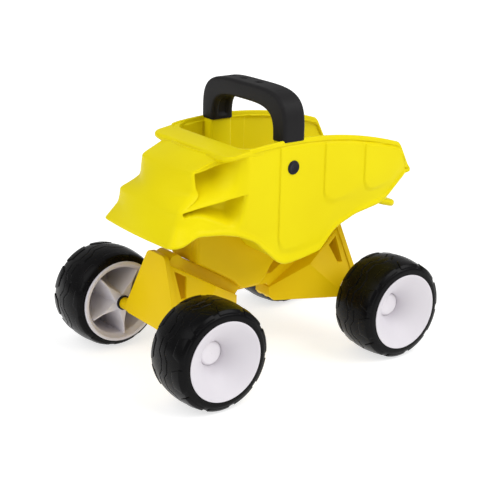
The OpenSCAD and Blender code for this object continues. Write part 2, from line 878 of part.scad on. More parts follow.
chassis_frame();
axle(front);  // front_axle
axle(rear);  // rear_axle
hinge_pin();
hopper();
hood();
keel();
handle();
handle_pin(left);  // handle_pin_left
handle_pin(right);  // handle_pin_right
hub_outer(front, left);  // hub_outer_front_left
hub_barrel(front, left);  // hub_barrel_front_left
hub_star(front, left);  // hub_star_front_left
hub_outer(front, right);  // hub_outer_front_right
hub_barrel(front, right);  // hub_barrel_front_right
hub_star(front, right);  // hub_star_front_right
hub_outer(rear, left);  // hub_outer_rear_left
hub_barrel(rear, left);  // hub_barrel_rear_left
hub_star(rear, left);  // hub_star_rear_left
hub_outer(rear, right);  // hub_outer_rear_right
hub_barrel(rear, right);  // hub_barrel_rear_right
hub_star(rear, right);  // hub_star_rear_right
tyre(front, left);  // tyre_front_left
tyre(front, right);  // tyre_front_right
tyre(rear, left);  // tyre_rear_left
tyre(rear, right);  // tyre_rear_right
hub_cap(front, left);  // hub_cap_front_left
hub_cap(front, right);  // hub_cap_front_right
hub_cap(rear, left);  // hub_cap_rear_left
hub_cap(rear, right);  // hub_cap_rear_right
push_nut(front, left);  // push_nut_front_left
push_nut(front, right);  // push_nut_front_right
push_nut(rear, left);  // push_nut_rear_left
push_nut(rear, right);  // push_nut_rear_right
washer(front, left);  // washer_front_left
washer(front, right);  // washer_front_right
washer(rear, left);  // washer_rear_left
washer(rear, right);  // washer_rear_right
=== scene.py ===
# %% [markdown]
# # A toy dump truck, dressed in Blender
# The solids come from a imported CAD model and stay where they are. This script lays the looks over
# them: smooth moulded shells for the yellow body, a swept handle, lathe-turned wheels, and plastics
# with a fine moulded grain. Lengths are written in millimetres, as on a drawing, and turned into
# Blender's metres in one place.

import math

import bmesh
import bpy
import numpy as np
from mathutils import Matrix, Vector


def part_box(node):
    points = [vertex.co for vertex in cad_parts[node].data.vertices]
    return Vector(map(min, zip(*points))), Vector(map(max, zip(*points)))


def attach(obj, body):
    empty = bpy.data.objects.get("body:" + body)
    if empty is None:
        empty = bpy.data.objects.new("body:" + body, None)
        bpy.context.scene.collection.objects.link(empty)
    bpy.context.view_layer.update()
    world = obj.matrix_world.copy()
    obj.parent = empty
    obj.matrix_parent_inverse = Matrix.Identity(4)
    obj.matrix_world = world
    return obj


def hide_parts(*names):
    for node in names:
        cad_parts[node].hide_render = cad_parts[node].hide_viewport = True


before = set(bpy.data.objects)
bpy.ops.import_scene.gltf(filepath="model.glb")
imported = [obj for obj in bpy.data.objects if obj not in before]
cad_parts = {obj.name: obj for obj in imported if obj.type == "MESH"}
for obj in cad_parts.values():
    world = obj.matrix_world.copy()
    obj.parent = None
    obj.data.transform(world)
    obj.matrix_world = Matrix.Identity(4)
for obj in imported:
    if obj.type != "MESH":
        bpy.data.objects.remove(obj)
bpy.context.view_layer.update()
MM = 0.001

# %% [markdown]
# ## Reading sizes off the solids
# A dressed piece has to sit exactly where its solid sits. Typing the sizes again would let the two
# drift apart, so the main ones are read from the solids' own boxes.

# %% Sizes from the frame


def box_mm(node):
    """Lowest and highest corner of a solid, in millimetres."""
    low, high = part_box(node)
    return np.array(low) / MM, np.array(high) / MM


hopper_low, hopper_high = box_mm("hopper")
tyre_low, tyre_high = box_mm("tyre_front_left")
handle_low, handle_high = box_mm("handle")
rim_top = hopper_high[2]
keel_bottom = box_mm("keel")[0][2]
axle_x, axle_y, axle_z = (tyre_low + tyre_high) / 2
tyre_radius = (tyre_high[2] - tyre_low[2]) / 2
tyre_width = tyre_high[1] - tyre_low[1]
handle_top = handle_high[2]
handle_half = handle_high[1]
leg_x = (handle_low[0] + handle_high[0]) / 2
print(f"rim {rim_top:.1f}, axle ({axle_x:.1f}, {axle_y:.1f}, {axle_z:.1f}), tyre r {tyre_radius:.1f} mm")

# %% [markdown]
# ## A few mesh tools
# Most of the shells here are grids: rows of points that follow a rule, joined by quads. A list of
# points is easier to steer than a stack of modifiers when every edge has to land on a solid's edge.
# `soft_curve` turns a few given points into a curve whose corners are rounded off, the way a
# mould maker breaks every edge.

# %% Curves and grids


def soft_curve(points, blur):
    """Function through given points, its corners rounded over about blur millimetres."""
    along, across = np.array(points, float).T
    step = 0.25
    dense = np.arange(along[0], along[-1] + step, step)
    values = np.interp(dense, along, across)
    reach = int(4 * blur / step)
    kernel = np.exp(-0.5 * (np.arange(-reach, reach + 1) * step / blur) ** 2)
    before = values[0] + (values[0] - values[1]) * np.arange(reach, 0, -1)
    after = values[-1] + (values[-1] - values[-2]) * np.arange(1, reach + 1)
    smooth = np.convolve(np.r_[before, values, after], kernel / kernel.sum(), "valid")
    return lambda q: np.interp(q, dense, smooth)


def smoothstep(low, high, value):
    t = np.clip((value - low) / (high - low), 0, 1)
    return t * t * (3 - 2 * t)


def mix(a, b, t):
    return a + (b - a) * t


def new_piece(name, points, faces, material, sharp=40):
    """Mesh object from points in millimetres, normals outwards, smooth up to the sharp angle."""
    mesh = bpy.data.meshes.new(name)
    mesh.from_pydata((np.asarray(points, float) * MM).tolist(), [], faces)
    form = bmesh.new()
    form.from_mesh(mesh)
    bmesh.ops.remove_doubles(form, verts=form.verts, dist=1e-6)
    bmesh.ops.recalc_face_normals(form, faces=form.faces)
    form.to_mesh(mesh)
    form.free()
    mesh.shade_smooth()
    mesh.set_sharp_from_angle(angle=math.radians(sharp))
    mesh.materials.append(material)
    piece = bpy.data.objects.new(name, mesh)
    bpy.context.scene.collection.objects.link(piece)
    return piece


def grid_faces(columns, rows, wrap_columns):
    """Quads of a grid whose columns are closed loops; open ends are closed with one face each."""
    faces = []
    for i in range(columns if wrap_columns else columns - 1):
        here, beside = i * rows, (i + 1) % columns * rows
        for j in range(rows):
            n = (j + 1) % rows
            faces.append([here + j, here + n, beside + n, beside + j])
    if not wrap_columns:
        faces.append(list(range(rows))[::-1])
        faces.append([(columns - 1) * rows + j for j in range(rows)])
    return faces


def grid_piece(name, grid, material, wrap_columns=False, sharp=40):
    columns, rows, _ = grid.shape
    faces = grid_faces(columns, rows, wrap_columns)
    return new_piece(name, grid.reshape(-1, 3), faces, material, sharp)


def joined(name, pieces):
    """One object out of several meshes that belong to the same moulding."""
    form = bmesh.new()
    for piece in pieces:
        form.from_mesh(piece.data)
    mesh = bpy.data.meshes.new(name)
    form.to_mesh(mesh)
    form.free()
    mesh.materials.append(pieces[0].data.materials[0])
    for piece in pieces:
        bpy.data.objects.remove(piece)
    whole = bpy.data.objects.new(name, mesh)
    bpy.context.scene.collection.objects.link(whole)
    return whole


def plate(name, outline, low, high, axis, material, bevel=1.2, segments=3):
    """Flat outline made solid along an axis, with its edges broken by a bevel."""
    order = [0, 2, 1] if axis == "y" else [0, 1, 2]
    count = len(outline)
    points = np.array([(u, v, w) for w in (low, high) for u, v in outline])[:, order]
    faces = [list(range(count)), list(range(count, 2 * count))]
    faces += [[i, (i + 1) % count, count + (i + 1) % count, count + i] for i in range(count)]
    piece = new_piece(name, points, faces, material)
    return break_edges(piece, bevel, segments)


def break_edges(piece, bevel, segments=3, angle=28):
    """Bevels every edge sharper than the angle and makes the result a plain mesh."""
    cut = piece.modifiers.new("broken edges", "BEVEL")
    cut.width = bevel * MM
    cut.segments = segments
    cut.limit_method = "ANGLE"
    cut.angle_limit = math.radians(angle)
    cut.harden_normals = False
    return plain(piece)


def plain(piece):
    """Replaces a piece's mesh by the evaluated one and drops its modifiers."""
    bpy.context.view_layer.update()
    evaluated = piece.evaluated_get(bpy.context.evaluated_depsgraph_get())
    mesh = bpy.data.meshes.new_from_object(evaluated)
    piece.modifiers.clear()
    piece.data = mesh
    mesh.shade_smooth()
    mesh.set_sharp_from_angle(angle=math.radians(40))
    return piece


# %% [markdown]
# ## One effect for every plastic
# Moulded plastic is never one flat colour: the mould leaves a fine grain, the melt flows in slightly
# uneven bands, and use leaves faint scuffs. Several materials need this, so it is a shader node
# group with named inputs, built once. It puts out a colour, a roughness and a height.

# %% Node group: moulded surface


def add_node(tree, kind, **settings):
    node = tree.nodes.new(kind)
    for key, value in settings.items():
        setattr(node, key, value)
    return node


def moulded_surface_group():
    group = bpy.data.node_groups.new("Moulded surface", "ShaderNodeTree")
    face = group.interface
    for name, kind in (("Colour", "NodeSocketColor"), ("Flow colour", "NodeSocketColor"),
                       ("Flow scale", "NodeSocketFloat"), ("Grain scale", "NodeSocketFloat"),
                       ("Roughness", "NodeSocketFloat"), ("Roughness spread", "NodeSocketFloat"),
                       ("Scuffs", "NodeSocketFloat")):
        face.new_socket(name, in_out="INPUT", socket_type=kind)
    for name, kind in (("Colour", "NodeSocketColor"), ("Roughness", "NodeSocketFloat"),
                       ("Height", "NodeSocketFloat")):
        face.new_socket(name, in_out="OUTPUT", socket_type=kind)
    link = group.links.new
    given = add_node(group, "NodeGroupInput")
    out = add_node(group, "NodeGroupOutput")
    where = add_node(group, "ShaderNodeTexCoord")

    flow = add_node(group, "ShaderNodeTexNoise")
    flow.inputs["Detail"].default_value = 3
    link(where.outputs["Object"], flow.inputs["Vector"])
    link(given.outputs["Flow scale"], flow.inputs["Scale"])
    band = add_node(group, "ShaderNodeMapRange")
    band.inputs["From Min"].default_value = 0.35
    band.inputs["From Max"].default_value = 0.70
    link(flow.outputs["Fac"], band.inputs["Value"])
    tint = add_node(group, "ShaderNodeMix", data_type="RGBA")
    link(band.outputs["Result"], tint.inputs["Factor"])
    link(given.outputs["Colour"], tint.inputs["A"])
    link(given.outputs["Flow colour"], tint.inputs["B"])

    grain = add_node(group, "ShaderNodeTexNoise")
    grain.inputs["Detail"].default_value = 2
    link(where.outputs["Object"], grain.inputs["Vector"])
    link(given.outputs["Grain scale"], grain.inputs["Scale"])

    stretch = add_node(group, "ShaderNodeMapping")
    stretch.inputs["Scale"].default_value = (60, 260, 700)
    stretch.inputs["Rotation"].default_value = (0.5, 0.3, 0.2)
    link(where.outputs["Object"], stretch.inputs["Vector"])
    scratch = add_node(group, "ShaderNodeTexNoise")
    scratch.inputs["Scale"].default_value = 1.0
    scratch.inputs["Detail"].default_value = 1
    link(stretch.outputs["Vector"], scratch.inputs["Vector"])
    thin = add_node(group, "ShaderNodeMapRange")
    thin.inputs["From Min"].default_value = 0.66
    thin.inputs["From Max"].default_value = 0.74
    link(scratch.outputs["Fac"], thin.inputs["Value"])
    scuff = add_node(group, "ShaderNodeMath", operation="MULTIPLY")
    link(thin.outputs["Result"], scuff.inputs[0])
    link(given.outputs["Scuffs"], scuff.inputs[1])

    centred = add_node(group, "ShaderNodeMath", operation="SUBTRACT")
    link(flow.outputs["Fac"], centred.inputs[0])
    centred.inputs[1].default_value = 0.5
    spread = add_node(group, "ShaderNodeMath", operation="MULTIPLY_ADD")
    link(centred.outputs["Value"], spread.inputs[0])
    link(given.outputs["Roughness spread"], spread.inputs[1])
    link(given.outputs["Roughness"], spread.inputs[2])
    worn = add_node(group, "ShaderNodeMath", operation="ADD")
    link(spread.outputs["Value"], worn.inputs[0])
    link(scuff.outputs["Value"], worn.inputs[1])

    link(tint.outputs["Result"], out.inputs["Colour"])
    link(worn.outputs["Value"], out.inputs["Roughness"])
    link(grain.outputs["Fac"], out.inputs["Height"])
    return group


moulded_surface = moulded_surface_group()
print("node group:", moulded_surface.name)

# %% [markdown]
# ## The finishes
# A few finishes cover the truck: lemon body plastic; the same plastic in a deeper orange yellow for
# the frame and keel, which is painted shade for the orange shade under the bin; white hub plastic
# and a whiter copy of it for the caps, which is painted light lifting the shade deep in the dish;
# black tyre, handle and pin plastic, and drawn steel. Each places the group with its own colours
# and scales. A value that is the same all over, such as the gloss, is set on the shader itself.

# %% Materials


def srgb(red, green, blue):
    """Linear colour from the 0-255 values of a picture editor."""
    def linear(c):
        c /= 255
        return c / 12.92 if c <= 0.04045 else ((c + 0.055) / 1.055) ** 2.4
    return (linear(red), linear(green), linear(blue), 1.0)


def plastic(name, colour, flow_colour, roughness, spread, grain_scale, grain_depth, scuffs, gloss):
    """Material of one moulded plastic; the grain's depth is in millimetres."""
    material = bpy.data.materials.new(name)
    material.use_nodes = True
    tree = material.node_tree
    shader = tree.nodes["Principled BSDF"]
    surface = add_node(tree, "ShaderNodeGroup", node_tree=moulded_surface)
    for socket, value in (("Colour", colour), ("Flow colour", flow_colour), ("Flow scale", 14.0),
                          ("Grain scale", grain_scale), ("Roughness", roughness),
                          ("Roughness spread", spread), ("Scuffs", scuffs)):
        surface.inputs[socket].default_value = value
    bump = add_node(tree, "ShaderNodeBump")
    bump.inputs["Strength"].default_value = 0.35
    bump.inputs["Distance"].default_value = grain_depth * MM
    tree.links.new(surface.outputs["Colour"], shader.inputs["Base Color"])
    tree.links.new(surface.outputs["Roughness"], shader.inputs["Roughness"])
    tree.links.new(surface.outputs["Height"], bump.inputs["Height"])
    tree.links.new(bump.outputs["Normal"], shader.inputs["Normal"])
    shader.inputs["Specular IOR Level"].default_value = gloss
    return material


body_yellow = plastic("body_yellow", srgb(230, 214, 8), srgb(226, 208, 7), roughness=0.42, spread=0.10,
                      grain_scale=900, grain_depth=0.05, scuffs=0.10, gloss=0.08)
# Painted shade: the body's yellow made deeper and more orange for the frame and keel, which sit in shade.
frame_painted_shade_yellow = plastic("frame_painted_shade_yellow", srgb(233, 198, 7), srgb(229, 192, 6), roughness=0.42, spread=0.10,
                       grain_scale=900, grain_depth=0.05, scuffs=0.12, gloss=0.08)
hub_white = plastic("hub_white", srgb(215, 211, 216), srgb(208, 204, 210), roughness=0.45, spread=0.12,
                    grain_scale=1100, grain_depth=0.05, scuffs=0.08, gloss=0.2)
# Painted light: a lighter copy of the hub plastic for the caps, brightening them against the shade deep in
# the dish.
cap_white_painted_light = plastic("cap_white_painted_light", srgb(236, 232, 236), srgb(230, 226, 231), roughness=0.45, spread=0.12,
                    grain_scale=1100, grain_depth=0.05, scuffs=0.08, gloss=0.2)
tyre_black = plastic("tyre_black", srgb(5, 5, 6), srgb(9, 8, 9), roughness=0.26, spread=0.16,
                     grain_scale=1300, grain_depth=0.09, scuffs=0.16, gloss=0.10)
handle_black = plastic("handle_black", srgb(25, 24, 25), srgb(32, 31, 32), roughness=0.48, spread=0.14,
                       grain_scale=1500, grain_depth=0.10, scuffs=0.12, gloss=0.12)
pin_black = plastic("pin_black", srgb(14, 16, 26), srgb(20, 22, 32), roughness=0.38, spread=0.10,
                    grain_scale=1300, grain_depth=0.05, scuffs=0.10, gloss=0.2)
drawn_steel = plastic("drawn_steel", srgb(190, 191, 194), srgb(170, 171, 176), roughness=0.32, spread=0.20,
                      grain_scale=2200, grain_depth=0.04, scuffs=0.15, gloss=0.5)
drawn_steel.node_tree.nodes["Principled BSDF"].inputs["Metallic"].default_value = 1.0
print("materials:", [m.name for m in bpy.data.materials])

# %% [markdown]
# ## The body shell
# The walls and the hood are one thin moulding. It could be modelled as a box and cut, but then the
# walls would not flow into the hood. Instead the shell is one grid: each column runs from the rim
# down to the lower edge, and the columns walk along the left wall, round the hood and back along
# the right wall. Every column is a closed loop, down the outside and up the inside, with a half
# round at the rim and at the foot, so the wall gets its thickness and soft edges at once.

# %% Outline curves of the body
wall = 3.0
half_width = 61.0
rim_mid_x = -8.0
rim_arch_r = 390.0
tail = (hopper_low[0], keel_bottom + 100)
rear_top_x = tail[0] + 14
joint_x = 45.0


def rim_arch(x):
    return rim_top - (x - rim_mid_x) ** 2 / (2 * rim_arch_r)


rim_z = soft_curve([tail, (rear_top_x, rim_arch(rear_top_x))]
                   + [(x, rim_arch(x)) for x in np.linspace(rear_top_x + 5, 66, 30)], 1.6)
skirt_z = soft_curve([tail, (-138, tail[1] - 2), (-116, 146.3), (-106, 141.3), (-78, 136.3), (-56, 127.8),
                      (-48, 120.8), (-37, 108.3), (-13, 103.8), (4, 102.3), (13, 106.3), (38, 129.3),
                      (55, 137.3), (73, 141.3), (96, 143.3), (111, 136.0), (140, 135.4)], 2.2)

# The hood's corner and its middle, each as x (and y) by height
corner_x = soft_curve([(130, 124.5), (135.5, 122.8), (149, 113.5), (152, 112), (163.5, 109.8), (174, 93),
                       (178, 91.5), (193.8, 91), (204.6, 62), (208, 54)], 1.0)
corner_y = soft_curve([(130, 56), (135.5, 55.5), (150, 49.4), (163.5, 48.5), (175, 43), (193.8, 40),
                       (204.6, 43.5), (208, 44)], 1.0)
middle_x = soft_curve([(130, 126.5), (135.5, 125.2), (150, 120.4), (164, 113.8), (178, 105), (193.8, 93.5),
                       (200, 81), (204.6, 72), (208, 63)], 2.5)
print(f"rim from {rim_z(rear_top_x):.1f} to {rim_z(joint_x):.1f} mm, lowest edge {skirt_z(4.0):.1f} mm")

# %% [markdown]
# The hood's sides carry two ledges that overlap like roof shingles. Under each ledge the surface
# steps inwards and then swells out again to the next edge. Because rows of the grid run exactly
# along both ledges, the steps come out crisp.

# %% Rows and columns of the shell
ledge_depth = (17.0, 19.0)
corner_round = soft_curve([(130, 6), (158, 6), (163.5, 3), (168, 8), (172, 8), (180, 3), (208, 2)], 1.5)
zone_rows = (12, 26, 24)
levels = (204.6, 193.8, 163.5, 135.5)
side_levels = ((rim_z(joint_x), 204.6), (208.6, 193.8), (174.5, 163.5), None)
ledge_lip = 1.4
bead_height = 3.0
bead_rise = 1.3
narrowing = ((1.3, 3.0), (1.6, 5.0), (1.25, 1.3), (1.0, 1.0))
falling = (1.0, 1.5, 1.0, 1.0)

rows = [(0, q) for q in np.linspace(0, 1, zone_rows[0] + 1)]
for zone in (1, 2):
    rows += [(zone, q) for q in (0.012, 0.03)]
    rows += [(zone, q) for q in np.linspace(0.05, 1, zone_rows[zone])]

print("points down the outside of a column:", len(rows))

# %% [markdown]
# Three panels overlap on each side wall, like scales that open towards the tail. Each is a low step
# with a rounded lower front corner. Its foot fades out to the rear, and a raised bead runs along the
# rim and the lower edge.

# %% Side wall: panels and beads
panel_lines = (12.0, -38.0, -85.0)
panel_feet = ((44.0, 52.0), (83.0, 90.0), (87.0, 92.0))
panel_step = 1.3
panel_corner = 13.0


def panel_rise(x, z):
    """How far the overlapping side panels stand out of the wall."""
    rise = 0.0
    for line, (foot, rear_foot) in zip(panel_lines, panel_feet):
        low = keel_bottom + mix(foot, rear_foot, np.clip((line - x) / (line - tail[0]), 0, 1))
        low = max(low, skirt_z(x) + 8)
        u, v = line - x, z - low
        if u < panel_corner and v < panel_corner:
            inside = panel_corner - math.hypot(panel_corner - u, panel_corner - v)
        else:
            inside = min(u, v)
        soft = 0.5 + 0.3 * max(u - panel_corner, 0)
        rise += panel_step * smoothstep(-soft, soft, inside)
    return rise * smoothstep(3, 6, rim_z(x) - z) * smoothstep(4, 9, x - tail[0])


def edge_bead(reach):
    """Raised band along an edge of the shell."""
    return bead_rise * (1 - smoothstep(bead_height - 0.4, bead_height + 0.3, reach))


def wall_column(x):
    top, low = rim_z(x), skirt_z(x)
    joint_span = rim_z(joint_x) - skirt_z(joint_x)
    marks = [0] + [(rim_z(joint_x) - side_levels[k][0]) / joint_span for k in (1, 2)] + [1]
    height = max(top - low, 1.5)
    lean = math.hypot(1, rim_z(x + 0.5) - rim_z(x - 0.5))
    column = []
    for zone, q in rows:
        z = top - height * mix(marks[zone], marks[zone + 1], q)
        bead = edge_bead((top - z) / lean) * smoothstep(joint_x, joint_x - 8, x) + edge_bead(z - low)
        column.append((x, half_width + panel_rise(x, z) + bead, z))
    return np.array(column)


print(f"wall at the middle line: {wall_column(rim_mid_x)[len(rows) // 2][1]:.1f} mm from the centre")

# %% [markdown]
# The hood's side is stretched between four edges: the rim, two ledges and the foot. Each edge runs
# from the wall to the front corner. Between two edges a pocket is pressed in: deepest just below the
# upper ledge, closed by a short wall at the front, and fading towards the rear and the next edge.

# %% Hood: side, ledges and pockets
side_turn = 0.35
corner_reach = 1.8
lip_soft = 0.9


def corner_end(z):
    """Where the side ends and the front begins, either side of the hood's rounded corner."""
    cx, cy, mx = corner_x(z), corner_y(z), middle_x(z)
    side = np.array([cx - joint_x, (cy - half_width) * side_turn])
    front = np.array([mx - cx, -cy])
    side /= np.linalg.norm(side)
    front /= np.linalg.norm(front)
    corner = np.array([cx, cy])
    return corner - corner_round(z) * side, corner, corner + corner_round(z) * front


def side_edge(level, a):
    """Point on the rim, a ledge or the foot of the hood's side: a runs from the wall to the corner."""
    end = corner_end(levels[level])[0]
    x = mix(joint_x, end[0], a)
    start, finish = narrowing[level]
    y = mix(half_width, end[1], 1 - (1 - a ** start) ** finish)
    z = skirt_z(x) if level == 3 else mix(*side_levels[level], 1 - (1 - a) ** falling[level])
    return np.array([x, y, z])


def pocket(zone, q, a):
    """Depth of the step under a ledge; q runs down to the next edge, a from the wall to the corner."""
    reach = (corner_end(levels[zone])[0][0] - joint_x) * (1 - a)
    front_wall = smoothstep(0.0, corner_reach, reach)
    drop = q * (side_edge(zone, a)[2] - side_edge(zone + 1, a)[2])
    lip = smoothstep(ledge_lip, ledge_lip + lip_soft, drop)
    if zone == 1:
        fade = smoothstep(0.16, 0.55, a)
        rest = 1 - smoothstep(0.25, 1.0, q)
    else:
        fade = smoothstep(0.0, 0.2, a - 0.16 * q)
        crease = mix(0.92, 0.20, smoothstep(0.08, 1.0, a))
        rest = 1 - smoothstep(0.55, 1.0, q / crease)
    return ledge_depth[zone - 1] * fade * front_wall * lip * rest


def side_column(a):
    column = []
    for zone, q in rows:
        upper, lower = side_edge(zone, a), side_edge(zone + 1, a)
        point = mix(upper, lower, q)
        last = mix(side_edge(zone, 1.0), side_edge(zone + 1, 1.0), q)
        end = corner_end(last[2])[0]
        point += (np.array([end[0], end[1], last[2]]) - last) * a ** 4
        if zone > 0:
            inset = pocket(zone, q, a)
            point -= np.array([0.25 * inset, inset, 0])
        if zone == 2:
            point[1] += edge_bead((1 - q) * (upper[2] - lower[2]))
        column.append(point)
    return np.array(column)


print("deepest pocket:", round(float(max(pocket(1, q, 0.9) for q in np.linspace(0, 1, 40))), 1), "mm")

# %% [markdown]
# The corner columns follow a short curve from the side to the front, and the front is a shallow bow
# from one corner to the other. Every column then becomes a closed loop round the wall's thickness.
# The right half is the left half mirrored, with its columns in reverse order.

# %% Hood: corner, front and the closed shell
corner_steps = (0.2, 0.4, 0.6, 0.8)


def front_heights():
    return [mix(levels[zone], levels[zone + 1], q) for zone, q in rows]


def corner_column(b):
    column = []
    for z in front_heights():
        start, corner, end = corner_end(z)
        spot = (1 - b) ** 2 * start + 2 * b * (1 - b) * corner + b ** 2 * end
        column.append((spot[0], spot[1], z))
    return np.array(column)


def front_column(c):
    column = []
    for z in front_heights():
        start = corner_end(z)[2]
        y = start[1] * (1 - c)
        x = middle_x(z) + (start[0] - middle_x(z)) * (y / start[1]) ** 2
        column.append((x, y, z))
    return np.array(column)


def closed_loop(outer, inward):
    """Outside points of a column turned into a loop round the wall's thickness."""
    inner = outer + wall * inward
    turn = np.linspace(0, np.pi, 9)[1:-1]
    up = np.array([0, 0, 1.0])

    def half_round(start, end, bulge):
        middle, arm = (start + end) / 2, (start - end) / 2
        size = np.linalg.norm(arm)
        return np.array([middle + arm * np.cos(t) + bulge * size * np.sin(t) for t in turn])

    foot = half_round(outer[-1], inner[-1], -up)
    rim = half_round(inner[0], outer[0], up)
    return np.concatenate([outer, foot, inner[::-1], rim])


def unit(*v):
    v = np.array(v, float)
    return v / np.linalg.norm(v)


near_lines = np.concatenate([line + np.linspace(-1.6, 1.6, 7) for line in panel_lines])
wall_x = np.unique(np.r_[np.linspace(tail[0] + 0.6, joint_x - 0.5, 92), near_lines].round(3))
side_a = np.r_[np.linspace(0, 0.93, 30), 0.945, 0.96, 0.972, 0.982, 0.992, 1.0]
half_shell = [closed_loop(wall_column(x), unit(0, -1, 0)) for x in wall_x]
half_shell += [closed_loop(side_column(a), unit(-0.3 * a, -1, 0)) for a in side_a]
half_shell += [closed_loop(corner_column(b), unit(-mix(0.3, 1, b), -mix(1, 0.2, b), 0))
               for b in corner_steps]
half_shell += [closed_loop(front_column(c), unit(-1, -0.2 * (1 - c), -0.15)) for c in np.linspace(0, 1, 18)]
half_shell = np.array(half_shell)
shell_grid = np.concatenate([half_shell, half_shell[-2::-1] * [1, -1, 1]])
body_shell = grid_piece("body_shell", shell_grid, body_yellow, sharp=48)
print("body shell:", len(body_shell.data.polygons), "faces")

# %% [markdown]
# ## Canopy, bin and keel
# The canopy is a thick rounded visor across the front of the opening. It is one profile carried
# across the truck. Seen from above, its front corners are round, so the profile's nose moves back
# near the ends, and it grows thinner there. The opening's front corners are round too, so the
# profile's rear edge moves back beside the walls.

# %% Canopy
nose_x = 68.0
canopy_t = 9.0
opening_x = 45.0
opening_round = 15.0
nose_round = (12.0, 9.0)
under_reach = 23.0
canopy_half = half_width + 0.2
end_round = 1.6


def canopy_thickness(y):
    """Full in the middle, thinner where the canopy runs out over the hood's ledges."""
    return np.interp(abs(y), (0, 38, 50, half_width), (canopy_t, canopy_t, 6.0, 3.4))


def canopy_profile(y):
    """Side view of the canopy at one place across the truck."""
    beside = np.clip((abs(y) - (half_width - wall - opening_round)) / opening_round, 0, 1)
    edge = opening_x - opening_round * (1 - math.sqrt(1 - beside ** 2))
    thick = canopy_thickness(y)
    nose_r = thick / 2
    turned_in = np.clip((abs(y) - canopy_half) / nose_round[1] + 1, 0, 1)
    front = nose_x - nose_round[0] * (1 - math.sqrt(1 - turned_in ** 2))
    nose = np.array([front - nose_r, rim_z(front - nose_r) - nose_r])
    lip = 1.1
    points = [(edge + lip - lip * math.cos(t), rim_z(edge + lip) - lip + lip * math.sin(t))
              for t in np.linspace(0, np.pi / 2, 5)]
    points += [(x, rim_z(x)) for x in np.linspace(edge + 5, nose[0] - 2, 9)]
    points += [(nose[0] + nose_r * math.cos(t), nose[1] + nose_r * math.sin(t))
               for t in np.linspace(np.pi / 2, -np.pi / 2, 13)]
    for back, depth in ((10, 1.3), (5, 1.8)):
        under_x = min(opening_x + back, front - under_reach + back)
        points.append((under_x, rim_z(under_x) - depth * thick))
    points.append((edge, rim_z(edge) - 2.0 * thick))
    return np.array(points)


def canopy_station(y, inset):
    profile = canopy_profile(y)
    middle = canopy_thickness(y) / 2
    spine_x = np.clip(profile[:, 0], opening_x + 4, nose_x - 4 - middle)
    spine = np.c_[spine_x, rim_z(spine_x) - middle]
    pull = spine - profile
    length = np.linalg.norm(pull, axis=1, keepdims=True)
    profile = profile + pull / np.maximum(length, 1e-6) * np.minimum(inset, length)
    return np.c_[profile[:, 0], np.full(len(profile), y), profile[:, 1]]


end_turn = np.linspace(0, np.pi / 2, 7)[1:]
inner_half = canopy_half - end_round
half_stations = [(y, 0.0) for y in np.linspace(0, inner_half, 24)]
half_stations += [(inner_half + end_round * math.sin(t), end_round * (1 - math.cos(t))) for t in end_turn]
stations = [(-y, inset) for y, inset in half_stations[:0:-1]] + half_stations
canopy = grid_piece("canopy", np.array([canopy_station(*s) for s in stations]), body_yellow)
print("canopy:", len(canopy.data.polygons), "faces")

# %% [markdown]
# The bin's front wall, its floor and the pouring lip are one bent sheet. The sheet follows a path in
# the side view, with every bend softened, and its width narrows behind the walls to make the lip.

# %% Bin floor and pouring lip


def soft_path(points, blur, step=1.0):
    """Evenly spaced points along a bent line, its bends rounded."""
    points = np.array(points, float)
    along = np.r_[0, np.cumsum(np.linalg.norm(np.diff(points, axis=0), axis=1))]
    place = np.arange(0, along[-1], step)
    return np.array([soft_curve(np.c_[along, points[:, k]], blur)(place) for k in range(points.shape[1])]).T


floor_path = soft_path([(46, 203), (46, 150), (38, 135), (14, 112), (4, 106.2), (-13, 107.5), (-36, 113),
                        (-47, 126), (-56, 131.5), (-78, 139.8), (-106, 143.5), (-118, 141.5),
                        (-143.5, 134)], 2.2)
lip_half = 51.0
lip_from_x = -104.0
lip_end_x = hopper_low[0] + 0.5
lip_t = 6.4
lip_round = 9.0


def floor_half(x):
    """Half width of the sheet: between the walls, then the lip with its rounded corners."""
    half = mix(half_width - 1.6, lip_half, smoothstep(lip_from_x, lip_from_x - 6, x))
    near_end = np.clip((lip_end_x - x + lip_round) / lip_round, 0, 1)
    return half - lip_round * (1 - math.sqrt(max(1 - near_end ** 2, 0)))


floor_columns = []
slopes = np.gradient(floor_path, axis=0)
for (x, z), (dx, dz) in zip(floor_path, slopes):
    down = unit(dz, 0, -dx) if dx < 0 else unit(1, 0, 0)
    down = down if down[2] < 0 or dx >= 0 else -down
    thick = mix(wall, lip_t, smoothstep(lip_end_x + 30, lip_end_x + 18, x))
    half = floor_half(x)
    top = np.array([x, 0, z])
    across = np.linspace(-1, 1, 15) * (half - thick / 2)
    ends = [(math.sin(t), math.cos(t)) for t in np.linspace(0, np.pi, 7)[1:-1]]
    loop = [top + [0, y, 0] for y in across]
    loop += [top + [0, across[-1] + thick / 2 * s, 0] + down * thick / 2 * (1 - c) for s, c in ends]
    loop += [top + [0, y, 0] + down * thick for y in across[::-1]]
    loop += [top + [0, across[0] - thick / 2 * s, 0] + down * thick / 2 * (1 + c) for s, c in ends]
    floor_columns.append(loop)
bin_floor = grid_piece("bin_floor", np.array(floor_columns), body_yellow)
print("bin floor:", len(bin_floor.data.polygons), "faces")

# %% [markdown]
# The keel hangs under the bin and straddles the chassis. A cheek on each side and a core between
# them leave a channel for the chassis spine, and their top runs inside the bin's floor sheet. These
# are flat-sided, so an outline made solid and bevelled is the simplest way. The pillars under the
# handle's legs and the hinge lug are made the same way.

# %% Keel, pillars and hinge lug
hinge_low, hinge_high = box_mm("hinge_pin")
hinge_x, hinge_z = (hinge_low[0] + hinge_high[0]) / 2, (hinge_low[2] + hinge_high[2]) / 2
knuckle_r = 7.5
seat_z = keel_bottom + 3.9
seat_half = 22.0
keel_half = 22.0
arm_half = 9.0
lug_half = 5.0


def arm_top(x):
    """Height of the chassis arms' upper edge."""
    return seat_z + (hinge_z + knuckle_r - seat_z) * (abs(x) - seat_half) / (-hinge_x - seat_half)


